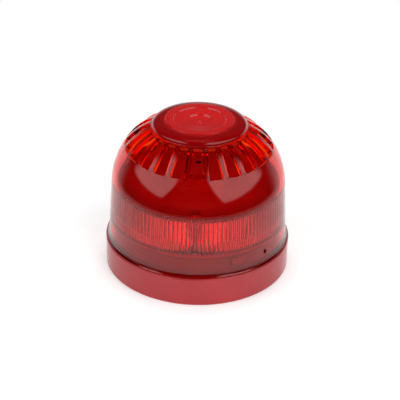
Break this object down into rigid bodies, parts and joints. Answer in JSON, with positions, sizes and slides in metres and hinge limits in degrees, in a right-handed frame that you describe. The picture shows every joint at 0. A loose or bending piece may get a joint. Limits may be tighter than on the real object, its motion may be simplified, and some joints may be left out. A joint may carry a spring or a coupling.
{
  "type": "horn strobe",
  "caption": "Round fire alarm sounder with a beacon: clear red slotted dome head that twists and lifts off a shallow red wall base.",
  "frame": {"origin": "centre of the base's back face", "axes": "+Z out of the wall through the dome, front of the object faces -Y"},
  "size_m": [0.1, 0.1, 0.0848],
  "materials": {
    "base_red": "satin moulded plastic",
    "dome_clear_red": "clear polycarbonate, glossy",
    "diffuser_opal": "opal plastic, fine satin",
    "horn_red": "moulded, glossy",
    "chassis_red": "moulded, satin",
    "white_plastic": "moulded, satin",
    "reflector_white": "bright white, glossy",
    "seal_rubber": "matt",
    "circuit_board": "solder resist over glass fibre",
    "brass_parts": "plain",
    "bronze_spring": "rolled strip",
    "zinc_steel": "zinc plated",
    "ferrite": "matt sintered",
    "copper_wire": "enamelled wire",
    "can_aluminium": "drawn can",
    "chip_black": "moulded package",
    "chip_ceramic": "fired",
    "led_resin": "phosphor under clear resin",
    "switch_red": "moulded",
    "pot_blue": "moulded",
    "wire_jacket": "insulated wire"
  },
  "bodies": {
    "base": {"mounting_base": "base_red", "terminal_carrier": "white_plastic", "terminal_clamps": "brass_parts", "terminal_screws": "zinc_steel", "contact_springs": "bronze_spring", "carrier_screws": "zinc_steel", "latch_spring": "zinc_steel"},
    "latch_pawl": {"latch_pawl": "chassis_red"},
    "seal": {"head_seal": "seal_rubber"},
    "head": {"lens_dome": "dome_clear_red", "head_chassis": "chassis_red", "dome_screws": "zinc_steel", "dome_gasket": "seal_rubber", "main_board": "circuit_board", "board_screws": "zinc_steel", "contact_pins": "brass_parts", "transformer_core": "ferrite", "transformer_winding": "copper_wire", "reservoir_capacitors": "can_aluminium", "control_chip": "chip_black", "surface_mount_parts": "chip_ceramic", "dip_switch_body": "switch_red", "volume_pot_body": "pot_blue", "board_header": "chip_black", "light_shroud": "white_plastic", "led_board": "circuit_board", "beacon_leds": "led_resin", "diffuser_ring": "diffuser_opal", "beam_reflector": "reflector_white", "horn_insert": "horn_red", "sounder_gasket": "seal_rubber", "sounder_plate": "brass_parts", "sounder_ceramic": "chip_ceramic", "sounder_cover": "horn_red", "sounder_wires": "wire_jacket", "frame_screws": "zinc_steel"},
    "volume_pot_rotor": {"volume_pot_rotor": "white_plastic"},
    "dip_slider_1": {"dip_slider_1": "white_plastic"},
    "dip_slider_2": {"dip_slider_2": "white_plastic"},
    "dip_slider_3": {"dip_slider_3": "white_plastic"},
    "dip_slider_4": {"dip_slider_4": "white_plastic"},
    "dip_slider_5": {"dip_slider_5": "white_plastic"}
  },
  "joints": [
    {"name": "head_twist", "type": "hinge", "parent": "base", "child": "seal", "pos_m": [0, 0, 0.016], "axis": [0, 0, 1], "range_deg": [-20, 0]},
    {"name": "head_lift", "type": "slide", "parent": "seal", "child": "head", "axis": [0, 0, 1], "range_m": [0, 0.04]},
    {"name": "latch_press", "type": "slide", "parent": "base", "child": "latch_pawl", "axis": [-0.4924, 0.8704, 0], "range_m": [0, 0.0012], "stiffness_N_per_m": 400, "springref_m": -0.001, "deforming": ["latch_spring"]},
    {"name": "volume_turn", "type": "hinge", "parent": "head", "child": "volume_pot_rotor", "pos_m": [0, -0.024, 0.0187], "axis": [0, 0, 1], "range_deg": [-135, 135]},
    {"name": "dip_slide_1", "type": "slide", "parent": "head", "child": "dip_slider_1", "axis": [0, 1, 0], "range_m": [0, 0.0016]},
    {"name": "dip_slide_2", "type": "slide", "parent": "head", "child": "dip_slider_2", "axis": [0, 1, 0], "range_m": [0, 0.0016]},
    {"name": "dip_slide_3", "type": "slide", "parent": "head", "child": "dip_slider_3", "axis": [0, 1, 0], "range_m": [0, 0.0016]},
    {"name": "dip_slide_4", "type": "slide", "parent": "head", "child": "dip_slider_4", "axis": [0, 1, 0], "range_m": [0, 0.0016]},
    {"name": "dip_slide_5", "type": "slide", "parent": "head", "child": "dip_slider_5", "axis": [0, 1, 0], "range_m": [0, 0.0016]}
  ]
}
